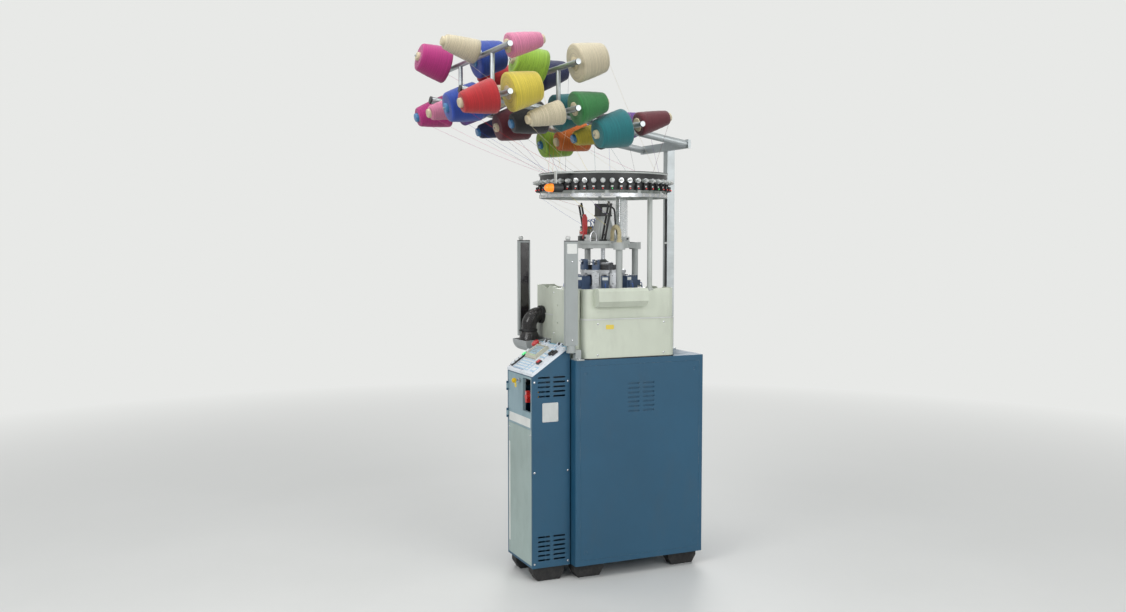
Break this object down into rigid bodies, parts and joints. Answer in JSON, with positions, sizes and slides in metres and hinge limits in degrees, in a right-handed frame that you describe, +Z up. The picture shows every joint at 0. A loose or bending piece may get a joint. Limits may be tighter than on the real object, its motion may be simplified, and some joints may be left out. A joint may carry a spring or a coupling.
{
  "type": "industrial circular sock knitting machine",
  "caption": "Floor-standing circular sock knitting machine with a side control cabinet, guard posts, knitting head, yarn feeder ring and an overhead creel of yarn cones.",
  "frame": {"origin": "on the floor, under the middle of the machine's whole box", "axes": "+Z up, the operator stands on the -Y side and +X is the operator's right"},
  "size_m": [0.85, 1.218, 2.4554],
  "materials": {
    "blue_paint": "satin, fine orange peel",
    "front_paint": "satin",
    "cream_paint": "satin",
    "guard_grey": "satin",
    "cast_grey": "painted casting, satin",
    "rubber_black": "matt",
    "black_plastic": "matt",
    "motor_black": "satin",
    "panel_white": "printed membrane",
    "display_beige": "satin",
    "button_white": "gloss",
    "button_green": "gloss, lit",
    "signal_red": "gloss",
    "signal_yellow": "satin",
    "steel_bright": "ground",
    "steel_dark": "blackened",
    "actuator_blue": "satin",
    "smoked_clear": "smoked clear plastic",
    "smoked_window": "gloss",
    "clear_sheet": "clear plastic sheet",
    "valve_cream": "satin",
    "hose_beige": "satin",
    "ring_grey": "satin",
    "amber": "clear amber",
    "galvanised": "galvanised tube",
    "yarn_light": "wound yarn",
    "yarn_dark": "wound yarn"
  },
  "bodies": {
    "root": {"base_frame": "blue_paint", "base_panels": "blue_paint", "cabinet_body": "blue_paint", "chassis_plate": "blue_paint", "lower_front_panel": "front_paint", "body_lower_cover": "cream_paint", "body_upper_cover": "cream_paint", "front_box_cover": "cream_paint", "side_cover": "cream_paint", "guard_brackets": "guard_grey", "front_tray": "guard_grey", "bed_casting": "cast_grey", "bridge": "cast_grey", "foot_pads": "rubber_black", "drive_belt": "rubber_black", "panel_hinges": "black_plastic", "pipe_clamps": "black_plastic", "sensor_housings": "black_plastic", "guide_frames": "black_plastic", "drive_motor": "motor_black", "dial_motor": "motor_black", "cam_box": "steel_bright", "sinker_cap": "steel_dark", "actuators": "actuator_blue", "finger_housings": "actuator_blue", "sock_pipe": "smoked_clear", "clear_shield": "clear_sheet", "valve_block": "valve_cream", "suction_hose": "hose_beige", "feeder_ring": "ring_grey", "tensioners": "ring_grey", "beacon_lamp": "amber", "creel_frame": "galvanised", "cones_light": "yarn_light", "cones_dark": "yarn_dark"},
    "door": {"cabinet_door": "front_paint"},
    "lock": {"door_lock": "steel_bright"},
    "main_switch": {"main_switch_knob": "signal_red"},
    "lid": {"control_panel": "panel_white", "display_unit": "display_beige", "emergency_stop_collar": "signal_yellow", "panel_bezels": "black_plastic"},
    "e_stop": {"emergency_stop": "signal_red"},
    "button_1": {"program_button_1": "button_white"},
    "button_2": {"program_button_2": "button_white"},
    "button_3": {"program_button_3": "button_white"},
    "button_4": {"program_button_4": "button_green"},
    "button_5": {"program_button_5": "button_white"},
    "stop": {"stop_button": "signal_red"},
    "left_post": {"left_guard_post": "guard_grey", "left_guard_window": "smoked_window"},
    "right_post": {"right_guard_post": "guard_grey", "right_guard_window": "smoked_window"},
    "cylinder": {"needle_cylinder": "steel_bright"},
    "motor_shaft": {"motor_pulley": "steel_bright"},
    "dial": {"dial_plate": "steel_bright"},
    "finger_1": {"yarn_finger_1": "steel_bright"},
    "finger_2": {"yarn_finger_2": "steel_bright"},
    "finger_3": {"yarn_finger_3": "steel_bright"},
    "lever": {"shift_lever": "signal_red"}
  },
  "joints": [
    {"name": "door_swing", "type": "hinge", "parent": "root", "child": "door", "pos_m": [-0.043, -0.246, 0.78], "axis": [0, 0, -1], "range_deg": [0, 110]},
    {"name": "lock_turn", "type": "hinge", "parent": "door", "child": "lock", "pos_m": [0.105, -0.241, 0.901], "axis": [0, -1, 0], "range_deg": [0, 90]},
    {"name": "main_switch_turn", "type": "hinge", "parent": "root", "child": "main_switch", "pos_m": [0.19015, -0.177, 0.836], "axis": [0, -1, 0], "range_deg": [0, 90]},
    {"name": "lid_lift", "type": "hinge", "parent": "root", "child": "lid", "pos_m": [0, -0.07, 1.06503], "axis": [-1, 0, 0], "range_deg": [0, 65]},
    {"name": "e_stop_press", "type": "slide", "parent": "lid", "child": "e_stop", "axis": [0, 0.5664, -0.8241], "range_m": [0, 0.004], "stiffness_N_per_m": 1500, "springref_m": -0.002},
    {"name": "button_1_press", "type": "slide", "parent": "lid", "child": "button_1", "axis": [0, 0.5664, -0.8241], "range_m": [0, 0.0025], "stiffness_N_per_m": 400, "springref_m": -0.002},
    {"name": "button_2_press", "type": "slide", "parent": "lid", "child": "button_2", "axis": [0, 0.5664, -0.8241], "range_m": [0, 0.0025], "stiffness_N_per_m": 400, "springref_m": -0.002},
    {"name": "button_3_press", "type": "slide", "parent": "lid", "child": "button_3", "axis": [0, 0.5664, -0.8241], "range_m": [0, 0.0025], "stiffness_N_per_m": 400, "springref_m": -0.002},
    {"name": "button_4_press", "type": "slide", "parent": "lid", "child": "button_4", "axis": [0, 0.5664, -0.8241], "range_m": [0, 0.0025], "stiffness_N_per_m": 400, "springref_m": -0.002},
    {"name": "button_5_press", "type": "slide", "parent": "lid", "child": "button_5", "axis": [0, 0.5664, -0.8241], "range_m": [0, 0.0025], "stiffness_N_per_m": 400, "springref_m": -0.002},
    {"name": "stop_press", "type": "slide", "parent": "lid", "child": "stop", "axis": [0, 0.5664, -0.8241], "range_m": [0, 0.0025], "stiffness_N_per_m": 400, "springref_m": -0.002},
    {"name": "left_post_swing", "type": "hinge", "parent": "root", "child": "left_post", "pos_m": [-0.28, -0.066, 1.067], "axis": [0, 0, 1], "range_deg": [0, 90]},
    {"name": "right_post_swing", "type": "hinge", "parent": "root", "child": "right_post", "pos_m": [0.28, -0.066, 1.067], "axis": [0, 0, -1], "range_deg": [0, 90]},
    {"name": "cylinder_spin", "type": "hinge", "parent": "root", "child": "cylinder", "pos_m": [0, 0.229, 1.306], "axis": [0, 0, 1], "continuous": true},
    {"name": "motor_spin", "type": "hinge", "parent": "root", "child": "motor_shaft", "pos_m": [0, 0.389, 1.12], "axis": [0, 0, 1], "continuous": true},
    {"name": "dial_spin", "type": "hinge", "parent": "root", "child": "dial", "pos_m": [0, 0.229, 1.418], "axis": [0, 0, 1], "continuous": true},
    {"name": "finger_1_lift", "type": "hinge", "parent": "root", "child": "finger_1", "pos_m": [-0.06859, 0.16041, 1.435], "axis": [0.7071, -0.7071, 0], "range_deg": [0, 16]},
    {"name": "finger_2_lift", "type": "hinge", "parent": "root", "child": "finger_2", "pos_m": [0, 0.132, 1.435], "axis": [1, 0, 0], "range_deg": [0, 16]},
    {"name": "finger_3_lift", "type": "hinge", "parent": "root", "child": "finger_3", "pos_m": [0.06859, 0.16041, 1.435], "axis": [0.7071, 0.7071, 0], "range_deg": [0, 16]},
    {"name": "lever_tilt", "type": "hinge", "parent": "root", "child": "lever", "pos_m": [0, 0.132, 1.547], "axis": [1, 0, 0], "range_deg": [0, 30]}
  ],
  "couplings": [
    {"joint": "motor_spin", "follows": "cylinder_spin", "ratio": 2.7143},
    {"joint": "dial_spin", "follows": "cylinder_spin", "ratio": 1}
  ]
}
